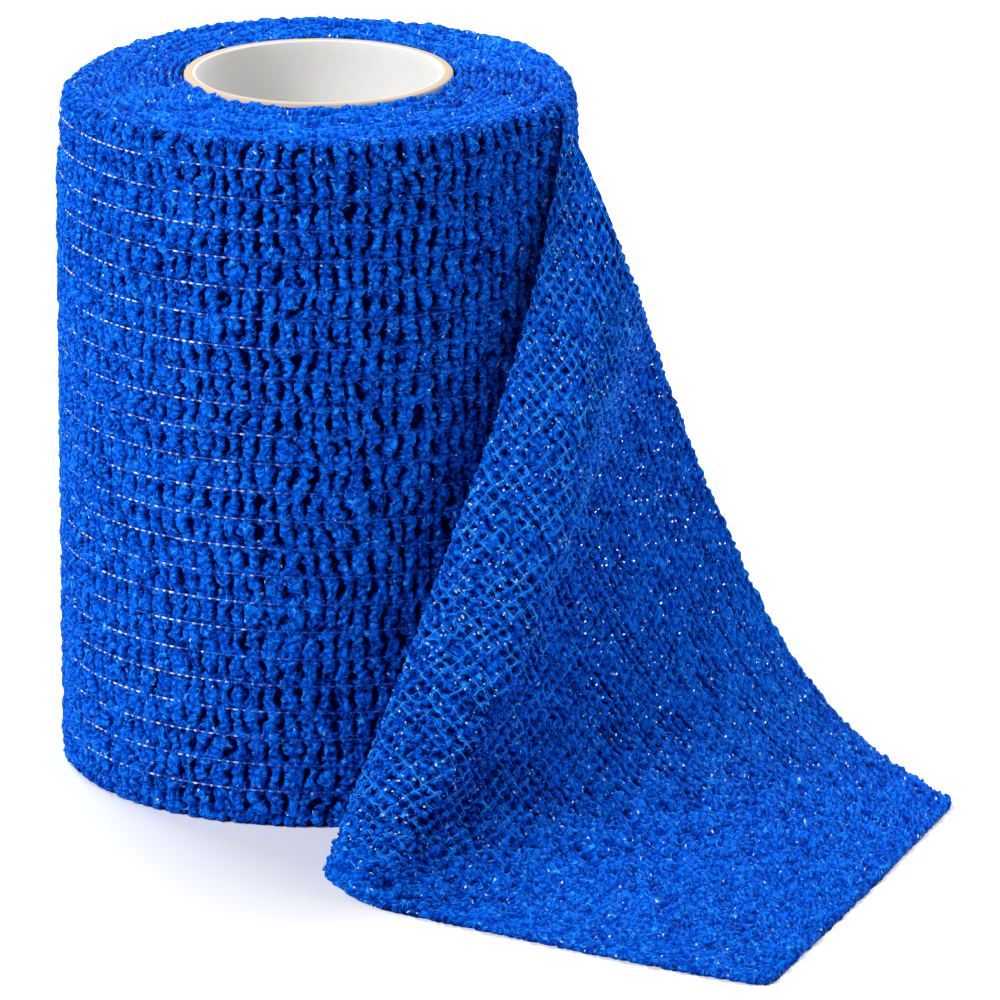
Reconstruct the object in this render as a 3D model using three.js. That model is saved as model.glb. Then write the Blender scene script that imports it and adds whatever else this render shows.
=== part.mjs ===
// Cohesive bandage roll: a crinkled elastic web wound on a paper core, standing on its end.
// The loose end leaves the roll at one side, folds over and lies out flat in front of it.
// Millimetres, +Z up. The pieces are drawn about the roll's axis, and the last lines move
// them so that the origin is the middle of the footprint, on the table.

import * as THREE from "three";

// Roll
const WEB_WIDTH = 100;
const CORE_BORE_RADIUS = 17.3;
const CORE_OUTER_RADIUS = 18.95;
const LAYER_PITCH = 1.0;
const INNER_WRAP_RADIUS = 36.2;
const CORE_PROUD = 0.2;
const END_FALL = 0.9;
const END_FALL_HALFWAY = 0.22;
const SHOULDER_TOP = 1.9;
const SHOULDER_BOTTOM = 0.9;
const SHOULDER_STEPS = 3;
const CLEARANCE = 0.3;

// Place where the last wrap leaves the roll, seen from above, counter-clockwise from +X
const PEEL_ANGLE = THREE.MathUtils.degToRad(-20);
const STEP_GAP = THREE.MathUtils.degToRad(0.4);

// Loose end
const SHEET_THICKNESS = 1.2;
const LYING = SHEET_THICKNESS / 2;
const STEPS_PER_FAN = 5;
const STEPS_ACROSS = 20;

// Facets round the roll and the core
const ROLL_FACETS = 120;
const CORE_FACETS = 72;

// The sheet is swept by a fan of lines, each from the web's upper edge down to its lower edge.
// A row gives one line: its upper end, the knee that bends it, and its foot on the table.
// The first line stands along the roll, and the last is the cut end.
const FAN = [
  { top: [34.7, -13.1, 97.4], knee: [34.7, -13.1, 49.0], foot: [34.7, -13.1, 0.0] },
  { top: [34.4, -14.9, 97.4], knee: [34.1, -18.5, 57.0], foot: [29.8, -25.8, 0.0] },
  { top: [34.4, -16.7, 97.2], knee: [32.2, -25.0, 60.9], foot: [14.0, -39.3, 0.0] },
  { top: [34.7, -16.4, 96.8], knee: [28.6, -29.5, 62.8], foot: [2.6, -51.0, 0.0] },
  { top: [36.2, -17.1, 93.5], knee: [28.0, -32.3, 60.9], foot: [1.9, -57.6, 0.2] },
  { top: [40.9, -23.3, 84.0], knee: [34.9, -37.7, 50.0], foot: [3.6, -62.6, 0.4] },
  { top: [44.4, -21.8, 74.3], knee: [31.2, -46.2, 29.6], foot: [5.6, -66.9, LYING] },
  { top: [47.5, -11.0, 62.1], knee: [22.7, -52.0, 8.9], foot: [9.6, -71.4, LYING] },
  { top: [55.3, -3.5, 39.2], knee: [36.0, -48.0, LYING], foot: [20.6, -78.8, LYING] },
  { top: [66.4, -3.7, 16.1], knee: [57.9, -44.0, LYING], foot: [42.4, -92.8, LYING] },
  { top: [77.8, -12.6, 4.5], knee: [70.4, -50.8, LYING], foot: [55.4, -100.2, LYING] },
  { top: [89.1, -26.4, LYING], knee: [75.7, -64.9, LYING], foot: [61.3, -103.0, LYING] },
];

const BLUE_WEB = new THREE.MeshStandardMaterial({ color: "#0a56d6", roughness: 0.75, metalness: 0 });
const PALE_BOARD = new THREE.MeshStandardMaterial({ color: "#e9e4da", roughness: 0.85, metalness: 0 });

// A closed mesh from its corner points and triangles.
function solid(points, triangles) {
  const geometry = new THREE.BufferGeometry();
  geometry.setAttribute("position", new THREE.Float32BufferAttribute(points.flat(), 3));
  geometry.setIndex(triangles.flat());
  geometry.computeVertexNormals();
  return geometry;
}

// The paper core: a plain tube, as long as the web is wide.
function coreGeometry() {
  const outline = [
    new THREE.Vector2(CORE_BORE_RADIUS, 0),
    new THREE.Vector2(CORE_OUTER_RADIUS, 0),
    new THREE.Vector2(CORE_OUTER_RADIUS, WEB_WIDTH),
    new THREE.Vector2(CORE_BORE_RADIUS, WEB_WIDTH),
    new THREE.Vector2(CORE_BORE_RADIUS, 0),
  ];
  const tube = new THREE.LatheGeometry(outline, CORE_FACETS);
  tube.rotateX(Math.PI / 2);
  return tube;
}

// Outline of the wound web in a plane through the axis, as [radius, height] pairs.
// The lower end is flat, the upper end falls slightly from the core to its rim, and both rims
// are rounded.
function woundOutline(outerRadius) {
  const inner = CORE_OUTER_RADIUS + CLEARANCE;
  const crownTop = WEB_WIDTH - CORE_PROUD;
  const rimTop = crownTop - END_FALL;
  const middle = (inner + outerRadius) / 2;
  const outline = [[inner, 0], [middle, 0]];
  const corner = (size, centreHeight, fromAngle) => {
    for (let step = 0; step <= SHOULDER_STEPS; step++) {
      const angle = THREE.MathUtils.degToRad(fromAngle + (step * 90) / SHOULDER_STEPS);
      const radius = outerRadius - size + size * Math.cos(angle);
      outline.push([radius, centreHeight + size * Math.sin(angle)]);
    }
  };
  corner(SHOULDER_BOTTOM, SHOULDER_BOTTOM, -90);
  outline.push([outerRadius, WEB_WIDTH / 2]);
  corner(SHOULDER_TOP, rimTop - SHOULDER_TOP, 0);
  outline.push([middle, crownTop - END_FALL_HALFWAY], [inner, crownTop]);
  return outline;
}

// The wound web as one ring. Its radius grows by one layer over the last turn, which ends
// in a step where the loose end leaves.
function woundRollGeometry() {
  const points = [];
  const triangles = [];
  const rings = ROLL_FACETS + 1;
  const perRing = woundOutline(INNER_WRAP_RADIUS).length;
  for (let ring = 0; ring < rings; ring++) {
    const turn = ring / ROLL_FACETS;
    const angle = PEEL_ANGLE - STEP_GAP / 2 - turn * (2 * Math.PI - STEP_GAP);
    for (const [radius, height] of woundOutline(INNER_WRAP_RADIUS + LAYER_PITCH * turn)) {
      points.push([radius * Math.cos(angle), radius * Math.sin(angle), height]);
    }
  }
  for (let ring = 0; ring < rings; ring++) {
    const next = (ring + 1) % rings;
    for (let corner = 0; corner < perRing; corner++) {
      const after = (corner + 1) % perRing;
      const [a, b] = [ring * perRing + corner, ring * perRing + after];
      const [c, d] = [next * perRing + after, next * perRing + corner];
      triangles.push([a, b, c], [a, c, d]);
    }
  }
  return solid(points, triangles);
}

// Smooth path through one column of the fan table.
function fanColumn(name) {
  const points = FAN.map((row) => new THREE.Vector3(...row[name]));
  return new THREE.CatmullRomCurve3(points, false, "catmullrom", 0.5);
}

// Middle surface of the loose end, as lines of evenly spaced points.
function sheetLines() {
  const [top, knee, foot] = ["top", "knee", "foot"].map(fanColumn);
  const count = (FAN.length - 1) * STEPS_PER_FAN;
  const lines = [];
  for (let step = 0; step <= count; step++) {
    const along = step / count;
    const bend = knee.getPoint(along);
    const line = new THREE.CubicBezierCurve3(top.getPoint(along), bend, bend, foot.getPoint(along));
    lines.push(line.getSpacedPoints(STEPS_ACROSS));
  }
  return lines;
}

// Unit normal of the middle surface at one point, from its neighbours.
function sheetNormal(lines, i, j) {
  const clamp = THREE.MathUtils.clamp;
  const pick = (row, column) => lines[clamp(row, 0, lines.length - 1)][clamp(column, 0, STEPS_ACROSS)];
  const alongWeb = pick(i + 1, j).clone().sub(pick(i - 1, j));
  const acrossWeb = pick(i, j + 1).clone().sub(pick(i, j - 1));
  return alongWeb.cross(acrossWeb).normalize();
}

// The loose end: its two faces stand half a thickness off the middle surface, never below
// the table, and a rim of quads closes them.
function looseEndGeometry() {
  const lines = sheetLines();
  const rows = lines.length;
  const columns = STEPS_ACROSS + 1;
  const face = (side) => lines.flatMap((line, i) => line.map((point, j) => {
    const moved = point.clone().addScaledVector(sheetNormal(lines, i, j), side * SHEET_THICKNESS / 2);
    return [moved.x, moved.y, Math.max(moved.z, 0)];
  }));
  const points = [...face(1), ...face(-1)];
  const under = rows * columns;
  const triangles = [];
  const quad = (a, b, c, d) => triangles.push([a, b, c], [a, c, d]);
  for (let i = 0; i < rows - 1; i++) {
    for (let j = 0; j < columns - 1; j++) {
      const [a, b] = [i * columns + j, (i + 1) * columns + j];
      quad(a, b, b + 1, a + 1);
      quad(under + a, under + a + 1, under + b + 1, under + b);
    }
  }
  const rim = (a, b) => quad(a, under + a, under + b, b);
  const last = rows - 1;
  for (let i = 0; i < last; i++) {
    rim(i * columns, (i + 1) * columns);
    rim((i + 2) * columns - 1, (i + 1) * columns - 1);
  }
  for (let j = 0; j < columns - 1; j++) {
    rim(j + 1, j);
    rim(last * columns + j, last * columns + j + 1);
  }
  return solid(points, triangles);
}

function piece(name, geometry, material) {
  const mesh = new THREE.Mesh(geometry, material);
  mesh.name = name;
  return mesh;
}

const bandage = new THREE.Group();
bandage.add(
  piece("core", coreGeometry(), PALE_BOARD),
  piece("wound_roll", woundRollGeometry(), BLUE_WEB),
  piece("loose_end", looseEndGeometry(), BLUE_WEB),
);

const footprint = new THREE.Box3().setFromObject(bandage).getCenter(new THREE.Vector3());
bandage.position.set(-footprint.x, -footprint.y, 0);

export default bandage;
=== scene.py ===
"""Cohesive bandage roll on its paper core, with the loose end folded over and laid out flat.

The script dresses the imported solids: crinkled blue web round the roll and along the loose
end, layer edges wound into both ends, elastic threads, and the paper core. Sizes are in
millimetres about the roll's axis, and mesh points are in metres in the frame of the solids.
"""

import logging
import math
from dataclasses import dataclass
from enum import Enum
from typing import Any, Sequence

import bpy
import numpy as np
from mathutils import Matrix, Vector


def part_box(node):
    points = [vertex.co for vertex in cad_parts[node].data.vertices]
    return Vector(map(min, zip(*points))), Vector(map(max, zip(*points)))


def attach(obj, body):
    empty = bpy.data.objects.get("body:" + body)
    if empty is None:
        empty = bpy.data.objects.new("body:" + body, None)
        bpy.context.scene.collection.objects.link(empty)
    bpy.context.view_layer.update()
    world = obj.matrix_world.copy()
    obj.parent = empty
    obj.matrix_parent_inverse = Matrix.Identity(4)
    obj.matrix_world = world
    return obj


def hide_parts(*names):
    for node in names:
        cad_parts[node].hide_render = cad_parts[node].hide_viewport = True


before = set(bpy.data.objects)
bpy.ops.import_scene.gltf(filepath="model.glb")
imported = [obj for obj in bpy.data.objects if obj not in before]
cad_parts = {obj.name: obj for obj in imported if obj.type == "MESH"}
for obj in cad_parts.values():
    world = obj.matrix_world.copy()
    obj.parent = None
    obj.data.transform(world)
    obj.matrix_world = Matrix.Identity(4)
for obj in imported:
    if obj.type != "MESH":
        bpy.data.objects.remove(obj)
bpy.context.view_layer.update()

MM = 0.001
UV_UNIT = 100
LOG = logging.getLogger("bandage")
Array = np.ndarray
Tree = bpy.types.NodeTree
Socket = bpy.types.NodeSocket

CORE_LOW, CORE_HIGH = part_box("core")
AXIS = (CORE_LOW + CORE_HIGH) / 2 / MM
WEB_WIDTH = (CORE_HIGH.z - CORE_LOW.z) / MM


class Slot(Enum):
    """Material slots of the record."""

    WEB = "web"
    BOARD = "paperboard"


def srgb(code: str) -> tuple[float, float, float, float]:
    """Turns an sRGB hex colour into linear values.

    Args:
        code: Six hex digits after a hash sign.

    Returns:
        Red, green, blue and an alpha of one.
    """
    parts = [int(code[i:i + 2], 16) / 255 for i in (1, 3, 5)]
    red, green, blue = (p / 12.92 if p <= 0.04045 else ((p + 0.055) / 1.055) ** 2.4 for p in parts)
    return red, green, blue, 1.0


def smoothstep(low: float, high: float, value: Array) -> Array:
    """Smooth ramp from 0 at low to 1 at high, which may be the smaller of the two."""
    t = np.clip((value - low) / (high - low), 0.0, 1.0)
    return t * t * (3.0 - 2.0 * t)


def add_node(
    tree: Tree,
    kind: str,
    settings: dict[str, Any] | None = None,
    inputs: dict[str | int, Any] | None = None,
) -> bpy.types.Node:
    """Adds one node, sets its properties, and fills or links its inputs.

    Args:
        tree: Node tree that gets the node.
        kind: Blender's type name of the node.
        settings: Property names and their values.
        inputs: Input names or numbers, each with a value or with an output socket to link.

    Returns:
        The new node.
    """
    node = tree.nodes.new(kind)
    for key, value in (settings or {}).items():
        setattr(node, key, value)
    for key, value in (inputs or {}).items():
        if isinstance(value, Socket):
            tree.links.new(value, node.inputs[key])
        else:
            node.inputs[key].default_value = value
    return node


def new_material(name: str) -> tuple[bpy.types.Material, Tree]:
    """Starts a material with an empty node tree.

    Args:
        name: Name of the material.

    Returns:
        The material and its node tree.
    """
    material = bpy.data.materials.new(name)
    material.use_nodes = True
    material.node_tree.nodes.clear()
    return material, material.node_tree


class Crumple:
    """Smooth random field on a square lattice, the same at every run."""

    SIZE = 512

    def __init__(self, seed: int) -> None:
        """Draws the lattice.

        Args:
            seed: Seed of the random draw.
        """
        self.table = np.random.default_rng(seed).uniform(-1.0, 1.0, (self.SIZE, self.SIZE))

    def at(self, x: Array, y: Array, period: int = 0) -> Array:
        """Samples the field.

        Args:
            x: First coordinate, in lattice cells.
            y: Second coordinate, in lattice cells.
            period: Number of cells after which the first coordinate repeats, or 0.

        Returns:
            Values from -1 to 1.
        """
        x, y = np.broadcast_arrays(x, y)
        cell_x, cell_y = np.floor(x).astype(int), np.floor(y).astype(int)
        part_x, part_y = x - cell_x, y - cell_y
        part_x = part_x ** 3 * (part_x * (part_x * 6 - 15) + 10)
        part_y = part_y ** 3 * (part_y * (part_y * 6 - 15) + 10)
        span = period or self.SIZE
        left, right = cell_x % span, (cell_x + 1) % span
        low, high = cell_y % self.SIZE, (cell_y + 1) % self.SIZE
        bottom = self.table[left, low] * (1 - part_x) + self.table[right, low] * part_x
        top = self.table[left, high] * (1 - part_x) + self.table[right, high] * part_x
        return bottom * (1 - part_y) + top * part_y


def ridged(values: Array) -> Array:
    """Folds a field from -1 to 1 into sharp crests of height 1."""
    return 1.0 - 2.0 * np.abs(values)


class Pebbles:
    """Random cells on a plane, for pits and for the folds between them."""

    SIZE = 256

    def __init__(self, seed: int) -> None:
        """Draws one centre in each lattice cell.

        Args:
            seed: Seed of the random draw.
        """
        self.centre = np.random.default_rng(seed).uniform(0.08, 0.92, (self.SIZE, self.SIZE, 2))

    def at(self, x: Array, y: Array, period: int = 0) -> tuple[Array, Array]:
        """Measures the distance to the nearest centre and the lead over the next one.

        Args:
            x: First coordinate, in cells.
            y: Second coordinate, in cells.
            period: Number of cells after which the first coordinate repeats, or 0.

        Returns:
            Distance to the nearest centre, and the second distance less the first, which is
            0 on the border between two cells.
        """
        cell_x, cell_y = np.floor(x).astype(int), np.floor(y).astype(int)
        nearest = np.full(x.shape, 9.0)
        second = np.full(x.shape, 9.0)
        for step_x in (-1, 0, 1):
            for step_y in (-1, 0, 1):
                at_x, at_y = cell_x + step_x, cell_y + step_y
                centre = self.centre[at_x % (period or self.SIZE), at_y % self.SIZE]
                far = np.hypot(at_x + centre[..., 0] - x, at_y + centre[..., 1] - y)
                second = np.minimum(second, np.maximum(nearest, far))
                nearest = np.minimum(nearest, far)
        return nearest, second - nearest


def grid_object(
    name: str,
    points: Array,
    uv: Array,
    attributes: dict[str, Array],
    skip: Array | None = None,
) -> bpy.types.Object:
    """Makes a mesh object from a grid of points.

    Args:
        name: Name of the object.
        points: Points in metres, shape (rows, columns, 3).
        uv: Place on the flat web in units of 100 mm, shape (rows, columns, 2).
        attributes: Named values at the points, each of shape (rows, columns).
        skip: True for each quad that is left out as a hole, shape (rows - 1, columns - 1).

    Returns:
        The object, linked to the scene.
    """
    rows, columns = points.shape[:2]
    corner = np.arange(rows * columns).reshape(rows, columns)
    quads = np.stack([corner[:-1, :-1], corner[:-1, 1:], corner[1:, 1:], corner[1:, :-1]], -1)
    quads = quads[~skip] if skip is not None else quads.reshape(-1, 4)
    used, quads = np.unique(quads, return_inverse=True)
    quads = quads.reshape(-1, 4)
    mesh = bpy.data.meshes.new(name)
    mesh.vertices.add(len(used))
    mesh.vertices.foreach_set("co", points.reshape(-1, 3)[used].astype(np.float32).ravel())
    mesh.loops.add(quads.size)
    mesh.loops.foreach_set("vertex_index", quads.ravel().astype(np.int32))
    mesh.polygons.add(len(quads))
    mesh.polygons.foreach_set("loop_start", np.arange(0, quads.size, 4, dtype=np.int32))
    layer = mesh.uv_layers.new(name="Web")
    layer.data.foreach_set("uv", uv.reshape(-1, 2)[used][quads.ravel()].astype(np.float32).ravel())
    for label, values in attributes.items():
        data = mesh.attributes.new(label, "FLOAT", "POINT").data
        data.foreach_set("value", values.reshape(-1)[used].astype(np.float32))
    mesh.update(calc_edges=True)
    mesh.shade_smooth()
    piece = bpy.data.objects.new(name, mesh)
    bpy.context.scene.collection.objects.link(piece)
    return piece


def to_frame(x: Array, y: Array, z: Array) -> Array:
    """Moves points from millimetres about the roll's axis to metres in the frame."""
    return np.stack([x + AXIS.x, y + AXIS.y, z], -1) * MM


@dataclass(frozen=True)
class CohesiveWeb:
    """Crinkled polyester nonwoven dipped in dyed latex.

    The latex gives a saturated blue. Painted shade turns it nearly navy in the folds and seams, and
    painted highlights in lighter blue lie on fine curled folds about a quarter of a millimetre wide.
    Painted glints show as small pale specks.
    """

    # Painted light and shade: hollow and deep are painted shade, crest and curl are painted highlights, and
    # body is the web's own blue.
    painted_hollow_shade: str = "#000032"
    deep: str = "#001660"
    body: str = "#0044C4"
    crest: str = "#0A7EFF"
    curl: str = "#30A2FF"
    glint: str = "#3C8CFF"
    painted_glint: str = "#D5E6FF"
    warp_mm: float = 1.3
    fold_mm: float = 1.1
    curl_mm: float = 1.1
    painted_glint_mm: float = 0.85
    fibre_mm: float = 0.22
    net_mm: float = 1.75
    relief_mm: float = 0.17
    painted_highlight_weight: float = -0.66
    fibre_tone: float = 0.22
    fibre_relief: float = 0.08

    def build(self) -> bpy.types.Material:
        """Makes the material.

        Returns:
            A material that reads the Web UV map and the painted shade, painted glint and net attributes.
        """
        material, tree = new_material("crinkled_latex_web")
        uv = add_node(tree, "ShaderNodeUVMap", {"uv_map": "Web"})
        to_mm = (UV_UNIT, UV_UNIT, UV_UNIT)
        place = add_node(tree, "ShaderNodeMapping", None, {"Vector": uv.outputs["UV"], "Scale": to_mm})
        sway = add_node(
            tree, "ShaderNodeTexNoise", {"noise_dimensions": "2D"},
            {"Vector": place.outputs[0], "Scale": 1 / self.warp_mm, "Detail": 0.0},
        )
        bent = add_node(
            tree, "ShaderNodeVectorMath", {"operation": "MULTIPLY_ADD"},
            {0: sway.outputs["Color"], 1: (0.7, 0.7, 0.0), 2: place.outputs[0]},
        )
        height = self.net(tree, bent.outputs[0], self.folds(tree, bent.outputs[0]))
        fibre = add_node(
            tree, "ShaderNodeTexNoise", {"noise_dimensions": "2D"},
            {"Vector": place.outputs[0], "Scale": 1 / self.fibre_mm, "Detail": 1.0},
        )
        # Painted shade from the attribute below darkens low places and seams. Raised crests, curls and
        # filaments lighten the tone as painted highlights.
        painted_shade = add_node(tree, "ShaderNodeAttribute", {"attribute_name": "painted_shade"})
        lit = add_node(
            tree, "ShaderNodeMath", {"operation": "MULTIPLY_ADD"},
            {0: height, 1: self.painted_highlight_weight, 2: painted_shade.outputs["Fac"]},
        )
        shade = add_node(
            tree, "ShaderNodeMath", {"operation": "MULTIPLY_ADD"},
            {0: fibre.outputs[0], 1: self.fibre_tone, 2: lit.outputs[0]},
        )
        # The ramp runs from painted highlights, through the web's own body blue, to painted shade.
        tone = add_node(tree, "ShaderNodeValToRGB", None, {"Fac": shade.outputs[0]})
        ramp = tone.color_ramp
        ramp.elements[0].position, ramp.elements[0].color = 0.0, srgb(self.curl)
        ramp.elements[1].position, ramp.elements[1].color = 0.88, srgb(self.painted_hollow_shade)
        ramp.elements.new(0.09).color = srgb(self.crest)
        ramp.elements.new(0.33).color = srgb(self.body)
        ramp.elements.new(0.58).color = srgb(self.deep)
        # Painted glints: pale specks laid over the tone.
        colour = self.painted_glints(tree, bent.outputs[0], tone.outputs["Color"])
        gloss = add_node(
            tree, "ShaderNodeMapRange", None,
            {"Value": height, "From Min": 0.0, "From Max": 0.8, "To Min": 0.6, "To Max": 0.3},
        )
        relief = add_node(
            tree, "ShaderNodeMath", {"operation": "MULTIPLY_ADD"},
            {0: fibre.outputs[0], 1: self.fibre_relief, 2: height},
        )
        bump = add_node(
            tree, "ShaderNodeBump", None,
            {"Height": relief.outputs[0], "Strength": 1.0, "Distance": self.relief_mm * MM},
        )
        shader = add_node(
            tree, "ShaderNodeBsdfPrincipled", None,
            {"Base Color": colour, "Roughness": gloss.outputs[0], "Normal": bump.outputs[0],
             "IOR": 1.5, "Specular IOR Level": 0.012, "Specular Tint": srgb(self.glint)},
        )
        add_node(tree, "ShaderNodeOutputMaterial", None, {"Surface": shader.outputs[0]})
        return material

    def folds(self, tree: Tree, place: Socket) -> Socket:
        """Fine folds of the skin: smooth lumps with open seams between them, and curled crests.

        Args:
            tree: Node tree of the material.
            place: Bent place on the web in millimetres.

        Returns:
            Height, from about -0.7 in a seam to 1 on a crest.
        """
        cells = add_node(
            tree, "ShaderNodeTexVoronoi", {"voronoi_dimensions": "2D", "feature": "DISTANCE_TO_EDGE"},
            {"Vector": place, "Scale": 1 / self.fold_mm},
        )
        edge = add_node(
            tree, "ShaderNodeMapRange", {"interpolation_type": "SMOOTHSTEP"},
            {"Value": cells.outputs["Distance"], "From Min": 0.22, "From Max": 0.05},
        )
        torn = add_node(
            tree, "ShaderNodeTexNoise", {"noise_dimensions": "2D"},
            {"Vector": place, "Scale": 1 / (1.4 * self.fold_mm), "Detail": 1.0},
        )
        opened = add_node(
            tree, "ShaderNodeMapRange", None,
            {"Value": torn.outputs[0], "From Min": 0.62, "From Max": 0.42, "To Min": 0.15, "To Max": 1.0},
        )
        seam = add_node(
            tree, "ShaderNodeMath", {"operation": "MULTIPLY"}, {0: edge.outputs[0], 1: opened.outputs[0]},
        )
        wave = add_node(
            tree, "ShaderNodeTexNoise", {"noise_dimensions": "2D"},
            {"Vector": place, "Scale": 1 / self.curl_mm, "Detail": 0.0},
        )
        fold_back = add_node(
            tree, "ShaderNodeMath", {"operation": "PINGPONG"}, {0: wave.outputs[0], 1: 0.5},
        )
        curl = add_node(
            tree, "ShaderNodeMapRange", {"interpolation_type": "SMOOTHSTEP"},
            {"Value": fold_back.outputs[0], "From Min": 0.45, "From Max": 0.495},
        )
        crests = add_node(
            tree, "ShaderNodeMath", {"operation": "MULTIPLY_ADD"}, {0: curl.outputs[0], 1: 0.75, 2: 0.28},
        )
        height = add_node(
            tree, "ShaderNodeMath", {"operation": "MULTIPLY_ADD"},
            {0: seam.outputs[0], 1: -1.0, 2: crests.outputs[0]},
        )
        return height.outputs[0]

    def net(self, tree: Tree, place: Socket, height: Socket) -> Socket:
        """Draws taut filaments both ways over the folds, as strong as the net attribute says.

        Real filaments are finer than a pixel, so they are drawn about a fifth of a millimetre wide.

        Args:
            tree: Node tree of the material.
            place: Bent place on the web in millimetres.
            height: Height of the folds.

        Returns:
            The greater of both heights.
        """
        split = add_node(tree, "ShaderNodeSeparateXYZ", None, {"Vector": place})
        lines = []
        for axis in (0, 1):
            near = add_node(
                tree, "ShaderNodeMath", {"operation": "PINGPONG"},
                {0: split.outputs[axis], 1: self.net_mm / 2},
            )
            line = add_node(
                tree, "ShaderNodeMapRange", {"interpolation_type": "SMOOTHSTEP"},
                {"Value": near.outputs[0], "From Min": 0.12, "From Max": 0.03},
            )
            lines.append(line.outputs[0])
        crossing = add_node(tree, "ShaderNodeMath", {"operation": "MAXIMUM"}, {0: lines[0], 1: lines[1]})
        torn = add_node(
            tree, "ShaderNodeTexNoise", {"noise_dimensions": "2D"},
            {"Vector": place, "Scale": 0.6 / self.net_mm, "Detail": 1.0},
        )
        left = add_node(
            tree, "ShaderNodeMapRange", None,
            {"Value": torn.outputs[0], "From Min": 0.42, "From Max": 0.56},
        )
        share = add_node(tree, "ShaderNodeAttribute", {"attribute_name": "net"})
        strength = add_node(
            tree, "ShaderNodeMath", {"operation": "MULTIPLY"},
            {0: left.outputs[0], 1: share.outputs["Fac"]},
        )
        drawn = add_node(
            tree, "ShaderNodeMath", {"operation": "MULTIPLY"},
            {0: crossing.outputs[0], 1: strength.outputs[0]},
        )
        higher = add_node(
            tree, "ShaderNodeMath", {"operation": "MAXIMUM"}, {0: drawn.outputs[0], 1: height},
        )
        return higher.outputs[0]

    def painted_glints(self, tree: Tree, place: Socket, colour: Socket) -> Socket:
        """Lays painted glints, small pale specks, over the colour, as many as the glint share attribute
        says.

        Args:
            tree: Node tree of the material.
            place: Bent place on the web in millimetres.
            colour: Colour under the specks.

        Returns:
            The mixed colour.
        """
        dots = add_node(
            tree, "ShaderNodeTexVoronoi", {"voronoi_dimensions": "2D"},
            {"Vector": place, "Scale": 1 / self.painted_glint_mm},
        )
        share = add_node(tree, "ShaderNodeAttribute", {"attribute_name": "painted_glint"})
        draw = add_node(tree, "ShaderNodeSeparateColor", None, {"Color": dots.outputs["Color"]})
        chosen = add_node(
            tree, "ShaderNodeMath", {"operation": "LESS_THAN"},
            {0: draw.outputs[0], 1: share.outputs["Fac"]},
        )
        inside = add_node(
            tree, "ShaderNodeMapRange", None,
            {"Value": dots.outputs["Distance"], "From Min": 0.19, "From Max": 0.12},
        )
        mask = add_node(
            tree, "ShaderNodeMath", {"operation": "MULTIPLY"}, {0: chosen.outputs[0], 1: inside.outputs[0]},
        )
        mixed = add_node(
            tree, "ShaderNodeMix", {"data_type": "RGBA"},
            {0: mask.outputs[0], 6: colour, 7: srgb(self.painted_glint)},
        )
        return mixed.outputs[2]


@dataclass(frozen=True)
class ElasticThread:
    """Covered elastane thread, coloured white in patches towards the roll's left (-X) side and pale blue
    elsewhere.
    """

    left_side_tone: str = "#F2F6FF"
    dyed: str = "#1358C4"
    name: str = "elastic_thread"

    def build(self) -> bpy.types.Material:
        """Makes the material, which turns white in patches towards the roll's left (-X) side.

        Returns:
            A material that reads Object coordinates.
        """
        material, tree = new_material(self.name)
        spot = add_node(tree, "ShaderNodeTexCoord")
        split = add_node(tree, "ShaderNodeSeparateXYZ", None, {"Vector": spot.outputs["Object"]})
        # The colour turns to the left-side tone towards -X, broken into noise patches, and stays the dyed
        # blue elsewhere.
        left_side_tone = add_node(
            tree, "ShaderNodeMapRange", None,
            {"Value": split.outputs["X"], "From Min": (AXIS.x - 3) * MM, "From Max": (AXIS.x - 17) * MM},
        )
        patch = add_node(
            tree, "ShaderNodeTexNoise", None,
            {"Vector": spot.outputs["Object"], "Scale": 1 / (2.2 * MM), "Detail": 1.0},
        )
        patchy = add_node(
            tree, "ShaderNodeMapRange", None,
            {"Value": patch.outputs[0], "From Min": 0.36, "From Max": 0.56},
        )
        share = add_node(
            tree, "ShaderNodeMath", {"operation": "MULTIPLY"}, {0: left_side_tone.outputs[0], 1: patchy.outputs[0]},
        )
        tone = add_node(
            tree, "ShaderNodeMix", {"data_type": "RGBA"},
            {0: share.outputs[0], 6: srgb(self.dyed), 7: srgb(self.left_side_tone)},
        )
        shader = add_node(
            tree, "ShaderNodeBsdfPrincipled", None,
            {"Base Color": tone.outputs[2], "Roughness": 0.5, "IOR": 1.5, "Specular IOR Level": 0.1},
        )
        add_node(tree, "ShaderNodeOutputMaterial", None, {"Surface": shader.outputs[0]})
        return material


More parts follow.
